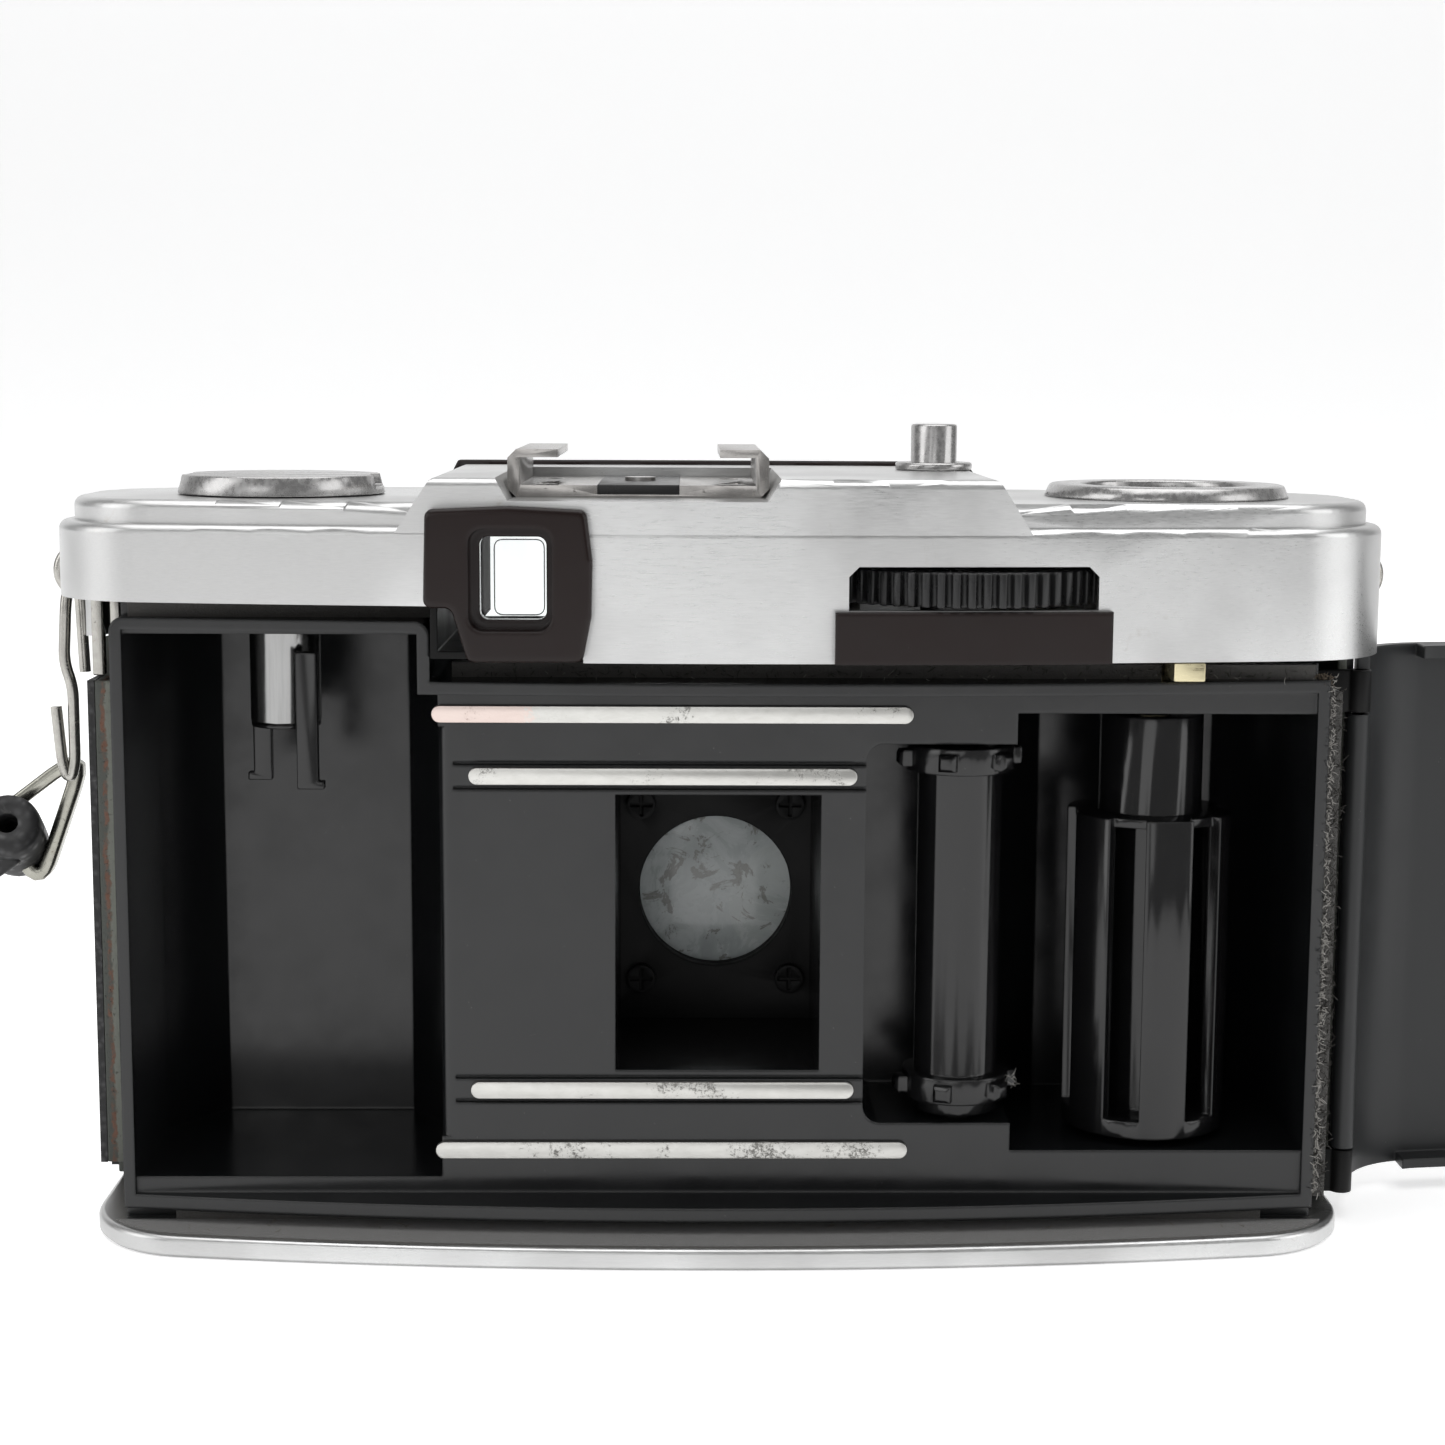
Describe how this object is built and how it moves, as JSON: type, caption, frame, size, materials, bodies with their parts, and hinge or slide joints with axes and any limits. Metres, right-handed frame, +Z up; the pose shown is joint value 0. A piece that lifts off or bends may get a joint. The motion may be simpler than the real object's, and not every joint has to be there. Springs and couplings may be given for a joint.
{
  "type": "camera",
  "caption": "Compact half-frame viewfinder film camera with its hinged back open, thumb-wheel advance, folding rewind crank, accessory shoe and wrist strap.",
  "frame": {"origin": "mouth of the tripod socket, centre of the base plate", "axes": "+X to the right end seen from behind, +Y the way the lens points, +Z up"},
  "size_m": [0.3484, 0.0578, 0.0689],
  "materials": {
    "satin_chrome": "satin",
    "bright_steel": "satin",
    "spring_steel": "satin",
    "black_casting": "satin",
    "black_paint": "matte",
    "black_gloss": "gloss",
    "black_plastic": "matte",
    "black_aluminium": "satin",
    "bright_aluminium": "satin",
    "brass": "satin",
    "glass": "gloss",
    "foam": "matte",
    "leather": "satin",
    "meter": "gloss"
  },
  "bodies": {
    "body": {"base_plate": "satin_chrome", "tripod_socket": "bright_steel", "base_screws": "bright_steel", "body_casting": "black_casting", "film_rails": "bright_steel", "light_seals": "foam", "top_cover": "satin_chrome", "eyepiece_bezel": "black_gloss", "eyepiece_lens": "glass", "finder_tube": "black_plastic", "front_window_bezel": "black_gloss", "front_window_glass": "glass", "thumb_plate": "black_gloss", "accessory_shoe": "bright_steel", "shoe_insulator": "black_plastic", "shoe_contact": "bright_steel", "small_screws": "black_paint", "front_shell": "black_paint", "front_leatherette": "leather", "lens_mount_plate": "black_paint", "shutter_housing": "black_aluminium", "rear_element": "glass", "lens_barrel": "black_aluminium", "lens_cell": "black_aluminium", "lens_front_ring": "black_aluminium", "meter_cell": "meter", "front_element": "glass", "mechanism_plate": "spring_steel", "cover_rings": "bright_aluminium", "counter_window": "glass", "button_spring": "spring_steel", "body_hinge": "bright_steel", "strap_lugs": "bright_steel"},
    "door": {"back_door": "black_paint", "door_leatherette": "leather", "door_springs": "spring_steel"},
    "pressure": {"pressure_plate": "black_paint"},
    "latch": {"door_latch": "bright_steel"},
    "rewind_lift": {"rewind_sleeve": "spring_steel"},
    "rewind": {"rewind_knob": "bright_aluminium", "rewind_shaft": "bright_steel", "rewind_fork": "black_paint"},
    "crank": {"rewind_crank": "bright_aluminium"},
    "release": {"shutter_button": "bright_aluminium"},
    "thumb_wheel": {"advance_wheel": "black_plastic", "drive_gear": "bright_steel"},
    "sprocket": {"sprocket": "black_plastic"},
    "idler": {"idler_gear": "brass"},
    "spool": {"takeup_spool": "black_plastic", "spool_gear": "brass"},
    "counter": {"counter_dial": "black_plastic"},
    "reset_pin": {"counter_reset_pin": "brass"},
    "clutch_button": {"rewind_release_button": "bright_steel"},
    "aperture": {"aperture_ring": "bright_aluminium"},
    "blade_left": {"shutter_blade_left": "spring_steel"},
    "blade_right": {"shutter_blade_right": "spring_steel"},
    "strap": {"wire_link": "bright_steel", "strap_ring": "bright_steel", "strap_fold": "leather", "wrist_strap": "leather"}
  },
  "joints": [
    {"name": "door_hinge", "type": "hinge", "parent": "body", "child": "door", "pos_m": [0.0545, -0.0025, 0.025], "axis": [0, 0, 1], "range_deg": [-180, 0]},
    {"name": "pressure_plate_give", "type": "slide", "parent": "door", "child": "pressure", "axis": [0, 1, 0], "range_m": [0, 0.0004], "stiffness_N_per_m": 300},
    {"name": "latch_lift", "type": "slide", "parent": "body", "child": "latch", "axis": [0, 0, 1], "range_m": [0, 0.0022], "stiffness_N_per_m": 200},
    {"name": "rewind_pull", "type": "slide", "parent": "body", "child": "rewind_lift", "axis": [0, 0, 1], "range_m": [0, 0.006]},
    {"name": "rewind_turn", "type": "hinge", "parent": "rewind_lift", "child": "rewind", "pos_m": [-0.0373, -0.0005, 0.064], "axis": [0, 0, 1], "continuous": true},
    {"name": "crank_fold", "type": "hinge", "parent": "rewind", "child": "crank", "pos_m": [-0.0447, -0.0005, 0.06418], "axis": [0, -1, 0], "range_deg": [0, 180]},
    {"name": "shutter_press", "type": "slide", "parent": "body", "child": "release", "axis": [0, 0, -1], "range_m": [0, 0.0015], "stiffness_N_per_m": 600, "deforming": ["button_spring"]},
    {"name": "advance_turn", "type": "hinge", "parent": "body", "child": "thumb_wheel", "pos_m": [0.0202, -0.0049, 0.056], "axis": [0, 0, 1], "continuous": true},
    {"name": "sprocket_turn", "type": "hinge", "parent": "body", "child": "sprocket", "pos_m": [0.0202, -0.0049, 0.027], "axis": [0, 0, 1], "continuous": true},
    {"name": "idler_turn", "type": "hinge", "parent": "body", "child": "idler", "pos_m": [0.02805, -0.00051, 0.0514], "axis": [0, 0, 1], "continuous": true},
    {"name": "spool_turn", "type": "hinge", "parent": "body", "child": "spool", "pos_m": [0.037, -0.0015, 0.027], "axis": [0, 0, 1], "continuous": true},
    {"name": "counter_turn", "type": "hinge", "parent": "body", "child": "counter", "pos_m": [0.0381, 0.001, 0.0614], "axis": [0, 0, 1], "continuous": true},
    {"name": "reset_pin_push", "type": "slide", "parent": "body", "child": "reset_pin", "axis": [0, 1, 0], "range_m": [0, 0.0012], "stiffness_N_per_m": 200},
    {"name": "rewind_release_push", "type": "slide", "parent": "body", "child": "clutch_button", "axis": [0, 0, 1], "range_m": [0, 0.0018], "stiffness_N_per_m": 300},
    {"name": "aperture_turn", "type": "hinge", "parent": "body", "child": "aperture", "pos_m": [-0.0003, 0.0207, 0.02674], "axis": [0, 1, 0], "range_deg": [-60, 60]},
    {"name": "blade_left_open", "type": "hinge", "parent": "body", "child": "blade_left", "pos_m": [-0.0108, 0.0132, 0.03174], "axis": [0, 1, 0], "range_deg": [0, 40]},
    {"name": "blade_right_open", "type": "hinge", "parent": "body", "child": "blade_right", "pos_m": [0.0102, 0.0137, 0.03174], "axis": [0, 1, 0], "range_deg": [-40, 0]},
    {"name": "strap_swing", "type": "hinge", "parent": "body", "child": "strap", "pos_m": [-0.05703, 0.0035, 0.055], "axis": [0, 1, 0], "range_deg": [0, 18]}
  ],
  "couplings": [
    {"joint": "sprocket_turn", "follows": "advance_turn", "ratio": 1},
    {"joint": "idler_turn", "follows": "advance_turn", "ratio": -1.5},
    {"joint": "spool_turn", "follows": "advance_turn", "ratio": 1},
    {"joint": "counter_turn", "follows": "advance_turn", "ratio": 0.02},
    {"joint": "blade_left_open", "follows": "shutter_press", "rad_per_m": 465.42},
    {"joint": "blade_right_open", "follows": "shutter_press", "rad_per_m": -465.42}
  ]
}
